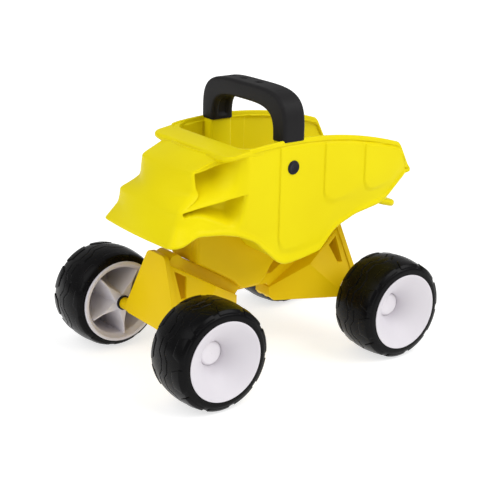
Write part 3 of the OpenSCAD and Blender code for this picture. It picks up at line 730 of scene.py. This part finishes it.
keel_low = [(1, keel_bottom), (21, keel_bottom), (30, arm_top(30) + 0.4), (72, arm_top(72) + 0.4)]
core_low = [(1, seat_z + 0.4), (22, seat_z + 0.4), (30, arm_top(30) + 0.4), (72, arm_top(72) + 0.4)]
keel_high = [(72, keel_bottom + 67), (47, 150), (38.5, 134), (13, 110.2), (2, 104.6), (-37.3, 110.8)]
keel_back = [(-13, keel_bottom + 17), (-5, keel_bottom + 5)]
cheek_outline = keel_low + keel_high + keel_back
core_outline = core_low + keel_high + [(-13, keel_bottom + 17), (-6, seat_z + 2.5)]
# The keel wears the painted-shade yellow: the body plastic made more orange for the shade under the bin.
keel_pieces = [plate("cheek", cheek_outline, s * (arm_half + 0.6), s * keel_half, "y", frame_painted_shade_yellow, 3.2, 5)
               for s in (1, -1)]
keel_pieces.append(plate("core", core_outline, -arm_half - 3, arm_half + 3, "y", frame_painted_shade_yellow, 0.6))
keel = joined("keel_look", keel_pieces)
leg_d = handle_high[0] - handle_low[0]
pillar_in = 46.7
props = []
for s in (1, -1):
    square = [(leg_x - leg_d / 2, s * pillar_in), (leg_x + leg_d / 2, s * pillar_in),
              (leg_x + leg_d / 2, s * (half_width - 1)), (leg_x - leg_d / 2, s * (half_width - 1))]
    props.append(plate("pillar", square, keel_bottom + 36, rim_top, "z", body_yellow, 2.6, 4))
eye_turn = np.linspace(np.pi * 1.05, np.pi * 1.95, 17)
eye = [(hinge_x + knuckle_r * math.cos(t), hinge_z + knuckle_r * math.sin(t)) for t in eye_turn]
lug_outline = eye + [(-72, keel_bottom + 70), (-102, keel_bottom + 72)]
props.append(plate("lug", lug_outline, -lug_half, lug_half, "y", body_yellow, 1.0))
print("keel:", len(keel.data.polygons), "faces, with two pillars and a lug beside it")

# %% [markdown]
# ## The carrying handle
# The handle is an arch whose section changes from broad legs to a slimmer grip. A curve with a bevel
# object would keep one section, so the arch is swept by hand: an outer and an inner arch, both
# superellipses, and a rounded section between them. Three oval dimples on the grip and a channel
# inside each leg are pressed into the same grid.

# %% Handle
handle_rise = handle_top - rim_top
inner_half_width = handle_half - 18.0
inner_rise = handle_rise - 16.0
edge_r = 3.2
leg_sink = 0.6
outer_power, inner_power = 4.0, 3.6
dimple_places = (-31.0, -13.0, 10.0)
dimple_size = (4.6, 3.2)
dimple_depth = 1.3
channel_half = 5.5
channel_depth = 2.4


def arch(half, rise, power, turn):
    return np.c_[half * np.cos(turn) ** (2 / power), rise * np.sin(turn) ** (2 / power)]


def even_turns(count):
    turn = np.linspace(0, np.pi / 2, 4000)
    line = arch(handle_half, handle_rise, outer_power, turn)
    along = np.r_[0, np.cumsum(np.linalg.norm(np.diff(line, axis=0), axis=1))]
    return np.interp(np.linspace(0, along[-1], count), along, turn)


def handle_section(depth, thick):
    """Rounded rectangle, counted from the outer face: x and the share through the thickness."""
    r = min(edge_r, thick / 2 - 0.6)
    flat = np.linspace(-(depth / 2 - r), depth / 2 - r, 15)
    turn = np.linspace(0, np.pi / 2, 6)[1:-1]
    half = thick / 2
    points = [(x, half) for x in flat]
    points += [(depth / 2 - r + r * math.sin(t), half - r + r * math.cos(t)) for t in turn]
    points += [(depth / 2, v) for v in np.linspace(half - r, r - half, 3)]
    points += [(depth / 2 - r + r * math.cos(t), r - half - r * math.sin(t)) for t in turn]
    points += [(x, -half) for x in flat[::-1]]
    points += [(r - depth / 2 - r * math.sin(t), r - half - r * math.cos(t)) for t in turn]
    points += [(-depth / 2, v) for v in np.linspace(r - half, half - r, 3)]
    points += [(r - depth / 2 - r * math.cos(t), half - r + r * math.sin(t)) for t in turn]
    return np.array(points)


turns = even_turns(96)
outer_arch = arch(handle_half, handle_rise, outer_power, turns)
inner_arch = arch(inner_half_width, inner_rise, inner_power, turns)
outer_arch[0, 1] = inner_arch[0, 1] = -leg_sink
handle_columns = []
for side, steps in ((1, range(len(turns))), (-1, range(len(turns) - 2, -1, -1))):
    for i in steps:
        outer, inner = outer_arch[i] * [side, 1], inner_arch[i] * [side, 1]
        middle, reach = (outer + inner) / 2, outer - inner
        thick = np.linalg.norm(reach)
        reach = reach / thick
        column = []
        for x, v in handle_section(leg_d, thick):
            place = middle + reach * v
            if v > thick / 2 - 0.2:
                for spot in dimple_places:
                    far = math.hypot((place[0] - spot) / dimple_size[0], x / dimple_size[1])
                    v -= dimple_depth * (1 - smoothstep(0.55, 1.05, far)) * (place[1] > inner_rise)
            if v < 0.2 - thick / 2:
                v += channel_depth * (1 - smoothstep(channel_half - 1.5, channel_half, abs(x))) \
                    * smoothstep(inner_rise - 4, inner_rise - 12, place[1]) * smoothstep(2, 5, place[1])
            place = middle + reach * v
            column.append((leg_x + x, place[0], rim_top + place[1]))
        handle_columns.append(column)
handle = grid_piece("carrying_handle", np.array(handle_columns), handle_black)
print("handle:", len(handle.data.polygons), "faces")

# %% [markdown]
# ## The chassis
# The chassis is a flat-sided moulding: two leaning shields, hollow blocks, arms and axle bosses. Its
# solid already has the right faces, so the quickest good look is a copy of the solid's mesh with
# the triangles merged back into faces and every edge broken by a bevel, as a mould would leave it.

# %% Chassis


def dressed_copy(node, name, material, bevel):
    """Copy of a solid's mesh, merged back into flat faces, with broken edges."""
    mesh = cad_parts[node].data.copy()
    mesh.name = name
    form = bmesh.new()
    form.from_mesh(mesh)
    bmesh.ops.remove_doubles(form, verts=form.verts, dist=1e-5)
    bmesh.ops.dissolve_limit(form, angle_limit=math.radians(1), verts=form.verts, edges=form.edges)
    bmesh.ops.recalc_face_normals(form, faces=form.faces)
    form.to_mesh(mesh)
    form.free()
    mesh.materials.clear()
    mesh.materials.append(material)
    piece = bpy.data.objects.new(name, mesh)
    bpy.context.scene.collection.objects.link(piece)
    return break_edges(piece, bevel, 3, 25)


# The chassis wears the painted-shade yellow, more orange than the body plastic it really is.
chassis = dressed_copy("chassis_frame", "chassis_shell", frame_painted_shade_yellow, 1.0)
print("chassis:", len(chassis.data.polygons), "faces")

# %% [markdown]
# ## The wheels
# Tyre, hub and cap are turned parts: one section carried round an axle. The tyre also has two thin
# zigzag grooves, so its section changes with the angle, and it is made as a grid. What repeats
# around the axle, the shoulder pads and the hub's star arms, is one mesh that Geometry Nodes
# places again and again: count, start angle and centre are inputs of the tree.

# %% Geometry Nodes: repeat around the axle


def around_axle_tree():
    tree = bpy.data.node_groups.new("Around the axle", "GeometryNodeTree")
    face = tree.interface
    face.new_socket("Geometry", in_out="OUTPUT", socket_type="NodeSocketGeometry")
    for name, kind in (("Geometry", "NodeSocketGeometry"), ("Piece", "NodeSocketObject"),
                       ("Count", "NodeSocketInt"), ("Start angle", "NodeSocketFloat"),
                       ("Centre", "NodeSocketVector"), ("Material", "NodeSocketMaterial")):
        face.new_socket(name, in_out="INPUT", socket_type=kind)
    given = add_node(tree, "NodeGroupInput")
    out = add_node(tree, "NodeGroupOutput")
    link = tree.links.new
    spots = add_node(tree, "GeometryNodeMeshLine")
    spots.inputs["Offset"].default_value = (0, 0, 0)
    link(given.outputs["Count"], spots.inputs["Count"])
    piece = add_node(tree, "GeometryNodeObjectInfo")
    link(given.outputs["Piece"], piece.inputs["Object"])
    number = add_node(tree, "GeometryNodeInputIndex")
    share = add_node(tree, "ShaderNodeMath", operation="DIVIDE")
    link(number.outputs["Index"], share.inputs[0])
    link(given.outputs["Count"], share.inputs[1])
    angle = add_node(tree, "ShaderNodeMath", operation="MULTIPLY_ADD")
    link(share.outputs["Value"], angle.inputs[0])
    angle.inputs[1].default_value = 2 * math.pi
    link(given.outputs["Start angle"], angle.inputs[2])
    turn = add_node(tree, "ShaderNodeCombineXYZ")
    link(angle.outputs["Value"], turn.inputs["Y"])
    place = add_node(tree, "GeometryNodeInstanceOnPoints")
    link(spots.outputs["Mesh"], place.inputs["Points"])
    link(piece.outputs["Geometry"], place.inputs["Instance"])
    link(turn.outputs["Vector"], place.inputs["Rotation"])
    real = add_node(tree, "GeometryNodeRealizeInstances")
    link(place.outputs["Instances"], real.inputs["Geometry"])
    move = add_node(tree, "GeometryNodeTransform")
    link(real.outputs["Geometry"], move.inputs["Geometry"])
    link(given.outputs["Centre"], move.inputs["Translation"])
    paint = add_node(tree, "GeometryNodeSetMaterial")
    link(move.outputs["Geometry"], paint.inputs["Geometry"])
    link(given.outputs["Material"], paint.inputs["Material"])
    link(paint.outputs["Geometry"], out.inputs["Geometry"])
    return tree


around_axle = around_axle_tree()


def repeat_around(name, piece, count, start, centre, material):
    """Plain mesh of one piece repeated around a wheel's axle."""
    ring = bpy.data.objects.new(name, bpy.data.meshes.new(name))
    bpy.context.scene.collection.objects.link(ring)
    nodes = ring.modifiers.new("around the axle", "NODES")
    nodes.node_group = around_axle
    values = {"Piece": piece, "Count": count, "Start angle": start,
              "Centre": (np.array(centre) * MM).tolist(), "Material": material}
    for item in around_axle.interface.items_tree:
        if item.in_out == "INPUT" and item.name in values:
            nodes[item.identifier] = values[item.name]
    return plain(ring)


print("tree inputs:", [i.name for i in around_axle.interface.items_tree if i.in_out == "INPUT"])

# %% [markdown]
# The tyre's grooves follow a trapezoid wave: straight, a slanted jog, straight, a jog back. The
# groove's depth depends on the distance to that line, so the grid needs close rows only in the
# middle of the tread.

# %% Tyre
tread_fall = 4.3
shoulder = 3.0
tyre_half = tyre_width / 2
barrel_r = 35.0
groove_depth = 0.8
groove_half = 0.42
groove_lines = (-3.4, 4.2)
jogs = 9
jog_reach = 2.6
steps_around = 320


def tread_r(s):
    return tyre_radius - tread_fall * (s / tyre_half) ** 2


def zigzag(angle):
    """Sideways shift of the grooves: a trapezoid wave around the tyre."""
    phase = (angle * jogs / (2 * np.pi)) % 1.0
    return jog_reach * np.clip(np.abs(phase - 0.5) * 10 - 2.5, -1, 1)


def rounded(points, radius, steps=3):
    """Closed outline with each corner rounded by a short curve."""
    points = np.array(points, float)
    out = []
    for before, here, after in zip(np.roll(points, 1, 0), points, np.roll(points, -1, 0)):
        a, b = before - here, after - here
        cut_a = min(radius, np.linalg.norm(a) * 0.45)
        cut_b = min(radius, np.linalg.norm(b) * 0.45)
        start, end = here + a / np.linalg.norm(a) * cut_a, here + b / np.linalg.norm(b) * cut_b
        for t in np.linspace(0, 1, steps + 1):
            out.append((1 - t) ** 2 * start + 2 * t * (1 - t) * here + t ** 2 * end)
    return np.array(out)


def on_wheel(centre, side, radius, s, angle):
    """Point of a wheel: s is counted outwards along the axle, the angle from +X towards +Z."""
    return centre + np.array([radius * math.cos(angle), side * s, radius * math.sin(angle)])


def turned(name, outline, centre, side, material, steps=120, sharp=40):
    """Outline of (radius, s) points carried round an axle."""
    grid = [[on_wheel(centre, side, r, s, a) for r, s in outline]
            for a in np.linspace(0, 2 * np.pi, steps, endpoint=False)]
    return grid_piece(name, np.array(grid), material, wrap_columns=True, sharp=sharp)


def tyre_mesh(name, centre, side):
    tread_edge = tyre_half - shoulder
    tread_rows = np.r_[np.linspace(-tread_edge, -8, 16), np.arange(-7.75, 8.76, 0.25),
                       np.linspace(9, tread_edge, 15)]
    edge_r = tread_r(tyre_half) - shoulder
    edge = rounded([(tread_r(tread_edge), tread_edge), (edge_r + 1.2, tyre_half - 0.6),
                    (edge_r - 1, tyre_half), (barrel_r, tyre_half), (barrel_r, 0)], 1.4)[4:16]
    columns = []
    for angle in np.linspace(0, 2 * np.pi, steps_around, endpoint=False):
        column = []
        for s in tread_rows:
            away = min(abs(s - line - zigzag(angle)) for line in groove_lines)
            cut = groove_depth * (1 - smoothstep(groove_half * 0.5, groove_half * 1.6, away))
            column.append(on_wheel(centre, side, tread_r(s) - cut, s, angle))
        column += [on_wheel(centre, side, r, s, angle) for r, s in edge]
        column += [on_wheel(centre, side, r, -s, angle) for r, s in edge[::-1]]
        columns.append(column)
    return grid_piece(name, np.array(columns), tyre_black, wrap_columns=True)


print("tyre r", round(float(tread_r(0)), 1), "mm,", jogs, "jogs a turn")

# %% [markdown]
# Each shoulder pad is a small block that hugs the edge of the tread, broader towards the side wall.
# The pads beside the hub's lip reach further onto the tread than those beside its flange.

# %% Shoulder pads
pad_count = 10
pad_start = 0.2
pad_half = (math.radians(9.5), math.radians(14.5))


def pad_mesh(side, face):
    """One pad on the tread's shoulder; face is +1 for the hub's lip, -1 for its flange."""
    reach, inner_rise, outer_rise = (12.0, 0.6, 1.2) if face > 0 else (9.0, 0.5, 0.5)
    top = []
    for t in np.linspace(-1, 1, 9):
        inner_angle, outer_angle = pad_half[0] * t, pad_half[1] * t
        s_in, s_out, s_edge = tyre_half - reach, tyre_half - 1.2, tyre_half - 0.2
        top.append([on_wheel(0, side, tread_r(s_in) + 0.2, face * s_in, inner_angle),
                    on_wheel(0, side, tread_r(s_in) + inner_rise, face * (s_in + 0.8), inner_angle),
                    on_wheel(0, side, tread_r(s_out - 2) + outer_rise, face * (s_out - 2), outer_angle),
                    on_wheel(0, side, tread_r(s_out) - 0.6, face * s_out, outer_angle),
                    on_wheel(0, side, 38.0, face * s_edge, outer_angle),
                    on_wheel(0, side, 37.5, face * (s_edge - 2), outer_angle),
                    on_wheel(0, side, tread_r(s_in) - 2, face * (s_in + 1), inner_angle)])
    pad = grid_piece("pad", np.array(top), tyre_black)
    return break_edges(pad, 0.35, 2, 20)


print("pads:", 2 * pad_count, "a tyre")

# %% [markdown]
# The hub is turned from one closed outline: the flange ring behind the tyre, the barrel, the lip, the
# deep dish that flares like a trumpet, a cup for the axle's end, the boss, and back along the dish.

# %% Hub
cap_r = 10.5
hub_wall = 2.4
lip_r, flange_r = 36.0, 38.9
lip_s, flange_s, boss_s = tyre_half + 1, -tyre_half - 3, -tyre_half - 4.5
dish_depth = 25.0
dish_s = lip_s - dish_depth
dish_flare = 1.8
dish_r = (cap_r + 0.6, lip_r - 1.4)
cup_r, cup_s = cap_r - 1.5, dish_s - 7.8
bore_r, boss_r = 3.05, 6.55


def dish(t):
    """Point of the dish's face, from the cap at 0 to the lip at 1."""
    return np.array([mix(*dish_r, t ** dish_flare), dish_s + dish_depth * t])


def dish_back(t):
    return dish(t) + hub_wall * np.array([0.7, -1])


def hub_outline():
    inner = barrel_r - hub_wall
    front = [(flange_r - 2.8, flange_s), (flange_r, flange_s), (flange_r, -tyre_half),
             (barrel_r, -tyre_half), (barrel_r, tyre_half), (lip_r, tyre_half), (lip_r, lip_s)]
    front += [tuple(dish(t)) for t in np.linspace(1, 0, 22)]
    front += [(dish_r[0], dish_s - 2), (cup_r, dish_s - 2), (cup_r, cup_s), (bore_r, cup_s),
              (bore_r, boss_s), (boss_r, boss_s), (boss_r, cup_s - hub_wall),
              (cup_r + hub_wall, cup_s - hub_wall)]
    back = [tuple(dish_back(t)) for t in np.linspace(0.02, 1, 22) if dish_back(t)[0] < inner - 0.5]
    mouth = [(inner, back[-1][1] + 1), (inner, flange_s + 5), (flange_r - 3.6, flange_s + 2.2)]
    return rounded(front + back + mouth, 0.45, 2)


print("points round the hub's outline:", len(hub_outline()))

# %% [markdown]
# Behind the dish five arms make a star. Each arm is a ridge: narrow on the side that is seen, broad
# where it stands on the back of the dish, and lower towards the barrel. The cap closes the cup in
# the middle of the dish.

# %% Star arm and cap
arm_count = 5
arm_start = math.radians(50)
root_half, tip_half = 11.0, 1.4
root_ridge, tip_ridge = 4.5, 0.7
back_line = np.array([dish_back(t) for t in np.linspace(0, 1, 20)])


def arm_mesh(side):
    """One arm of the star behind the dish: a ridge, broad at the boss and narrow at the barrel."""
    columns = []
    for r in np.linspace(3.6, barrel_r - hub_wall + 0.4, 14):
        half = mix(root_half, tip_half, np.clip((r - 6) / 27, 0, 1) ** 0.8)
        ridge = mix(root_ridge, tip_ridge, np.clip((r - 6) / 16, 0, 1))
        depth = cup_s - 1 if r < cup_r + 1 else np.interp(r, back_line[:, 0], back_line[:, 1] + 0.6)
        face = mix(boss_s + 1, flange_s + 1, np.clip(r / barrel_r, 0, 1))
        columns.append([(r, side * face, -ridge), (r, side * face, ridge),
                        (r, side * depth, half), (r, side * depth, -half)])
    arm = grid_piece("arm", np.array(columns), hub_white)
    return break_edges(arm, 0.4, 2, 30)


cap_s = dish_s + 2.6
cap_outline = rounded([(0.01, cap_s), (cap_r - 1.2, cap_s - 0.1), (cap_r + 0.5, cap_s - 1.2),
                       (dish_r[0], dish_s - 1.5), (cup_r, dish_s - 2.2), (cup_r, dish_s - 4),
                       (0.01, dish_s - 4)], 0.8)
print("cap r", cap_r, "mm,", arm_count, "arms in the star")

# %% [markdown]
# The four wheels are alike; the right ones are mirrored across the truck. Each wheel ends as three
# pieces, the tyre with its pads, the hub with its star, and the cap, and all three ride on the
# wheel's own body.

# %% Four wheels
for end, end_sign in (("front", 1), ("rear", -1)):
    for hand, side in (("left", 1), ("right", -1)):
        corner = f"{end}_{hand}"
        body = f"wheel_{corner}"
        centre = np.array([end_sign * axle_x, side * axle_y, axle_z])
        tyre = tyre_mesh(f"tyre_carcass_{corner}", centre, side)
        pads = []
        for face in (1, -1):
            pad = pad_mesh(side, face)
            pads.append(repeat_around("pads", pad, pad_count, pad_start * face, centre, tyre_black))
            bpy.data.objects.remove(pad)
        tyre = joined(f"tyre_look_{corner}", [tyre] + pads)
        arm = arm_mesh(side)
        star = repeat_around("star", arm, arm_count, side * arm_start, centre, hub_white)
        bpy.data.objects.remove(arm)
        hub = joined(f"hub_look_{corner}", [turned("hub", hub_outline(), centre, side, hub_white), star])
        # The cap wears the lighter painted-light copy of the hub plastic.
        cap = turned(f"cap_look_{corner}", cap_outline, centre, side, cap_white_painted_light, 72)
        for piece, nodes, slot in ((tyre, ["tyre"], "tyre_black"),
                                   (hub, ["hub_outer", "hub_barrel", "hub_star"], "hub_white"),
                                   (cap, ["hub_cap"], "hub_white")):
            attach(piece, body)
            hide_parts(*[f"{name}_{corner}" for name in nodes])

# %% [markdown]
# ## Handle pins
# Each leg of the handle is held by a pin through the side wall. Only its head shows: a low dome
# with a shallow dish in the middle, turned like the wheels. The photo's head is a little wider than
# the solid's, so it spreads over the wall.

# %% Handle pins
head_spread = 1.6
pin_r = 3.0
pin_length = 16.0
head_t = 1.5
for hand, side in (("left", 1), ("right", -1)):
    low, high = box_mm(f"handle_pin_{hand}")
    centre = np.array([(low[0] + high[0]) / 2, 0, (low[2] + high[2]) / 2])
    head_r = (high[2] - low[2]) / 2 + head_spread
    outside = max(abs(low[1]), abs(high[1]))
    under, inner_end = outside - head_t, outside - pin_length
    outline = rounded([(0.01, outside - 0.5), (head_r * 0.45, outside - 0.4), (head_r * 0.62, outside),
                       (head_r - 0.8, outside), (head_r, outside - 0.9), (head_r, under), (pin_r, under),
                       (pin_r, inner_end), (0.01, inner_end)], 0.5)
    pin = turned(f"handle_pin_look_{hand}", outline, centre, side, pin_black, 48)
    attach(pin, "tipper")
    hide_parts(f"handle_pin_{hand}")
print("handle pins:", head_r, "mm head radius")

# %% [markdown]
# ## Putting the pieces on their bodies
# A joint moves a CAD body, and a dressed piece has to move with it. Each piece is told which body
# it rides on and which solids it stands for. The steel parts keep their solids and only get a
# better finish.

# %% Bodies, replaced solids and finishes
tipper_look = joined("hopper_look", [body_shell, canopy, bin_floor] + props)
tipper_look.data.set_sharp_from_angle(angle=math.radians(48))
for piece, body, nodes, slot in ((tipper_look, "tipper", ["hopper", "hood"], "body_yellow"),
                                 (keel, "tipper", ["keel"], "body_yellow"),
                                 (handle, "tipper", ["handle"], "handle_black"),
                                 (chassis, "chassis", ["chassis_frame"], "body_yellow")):
    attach(piece, body)
    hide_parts(*nodes)
for node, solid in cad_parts.items():
    finish = None
    if node.endswith("axle") or node.startswith("push_nut") or node == "hinge_pin":
        finish = drawn_steel
    elif node.startswith("washer"):
        finish = pin_black
    if finish:
        for holder in solid.material_slots:
            holder.material = finish

# %% [markdown]
# ## Stage, light and camera
# The photo is a studio shot on white: a large soft light above the truck's left side, a weaker one
# in front, and a floor as pale as the background. The camera stands ahead and to the left, a little
# above the rim, with a long lens.

# %% Stage
bpy.context.scene.view_settings.view_transform = "Standard"
floor_mesh = bpy.data.meshes.new("floor")
floor_mesh.from_pydata([(-6, -6, 0), (6, -6, 0), (6, 6, 0), (-6, 6, 0)], [], [(0, 1, 2, 3)])
floor_white = plastic("floor_white", (0.56, 0.56, 0.56, 1), (0.55, 0.55, 0.55, 1), roughness=0.7, spread=0.05,
                      grain_scale=300, grain_depth=0.02, scuffs=0.0, gloss=0.1)
floor_glow = floor_white.node_tree.nodes["Principled BSDF"].inputs
floor_glow["Emission Color"].default_value = (1, 1, 1, 1)
floor_glow["Emission Strength"].default_value = 0.68
floor_mesh.materials.append(floor_white)
floor = bpy.data.objects.new("floor", floor_mesh)
bpy.context.scene.collection.objects.link(floor)

world = bpy.data.worlds.new("studio")
world.use_nodes = True
world.node_tree.nodes["Background"].inputs["Color"].default_value = (1, 1, 1, 1)
world.node_tree.nodes["Background"].inputs["Strength"].default_value = 0.42
bpy.context.scene.world = world


def soft_sun(name, toward, spread, strength):
    """Even light from one side, spread over an angle in degrees so that its shadows are soft."""
    lamp = bpy.data.lights.new(name, "SUN")
    lamp.angle = math.radians(spread)
    lamp.energy = strength
    holder = bpy.data.objects.new(name, lamp)
    turn = Vector(toward).to_track_quat("Z", "Y").to_matrix().to_4x4()
    holder.matrix_world = Matrix.Translation(toward) @ turn
    bpy.context.scene.collection.objects.link(holder)


soft_sun("key_left", (-0.5, 0.72, 0.9), 50, 1.75)
soft_sun("fill_front", (0.8, 0.05, 0.8), 60, 1.1)
print("lights:", [lamp.name for lamp in bpy.data.lights])

# %% [markdown]
# The camera's place and lens were worked out from the photo, so that the wheels, the rim and the
# handle fall where they do in the picture. The photo's roll, a little over a degree, is kept.

# %% Camera
azimuth, elevation, roll = math.radians(143.05), math.radians(18.62), math.radians(1.22)
camera_mm = (648.18, 859.70, 463.09)
focal_px, photo_px = 1208.9, 492
sensor_mm = 36
level = math.cos(elevation)
back = np.array([math.sin(azimuth) * level, -math.cos(azimuth) * level, math.sin(elevation)])
right = np.array([math.cos(azimuth), math.sin(azimuth), 0])
upward = np.cross(back, right)
turned_right = right * math.cos(roll) + upward * math.sin(roll)
turned_up = -right * math.sin(roll) + upward * math.cos(roll)
place = np.array(camera_mm) * MM
lens = bpy.data.cameras.new("photo_camera")
lens.sensor_width = sensor_mm
lens.lens = sensor_mm * focal_px / photo_px
camera = bpy.data.objects.new("photo_camera", lens)
matrix = np.eye(4)
matrix[:3] = np.c_[turned_right, turned_up, back, place]
camera.matrix_world = Matrix(matrix.tolist())
bpy.context.scene.collection.objects.link(camera)
bpy.context.scene.camera = camera
print("camera at", place.round(3).tolist())
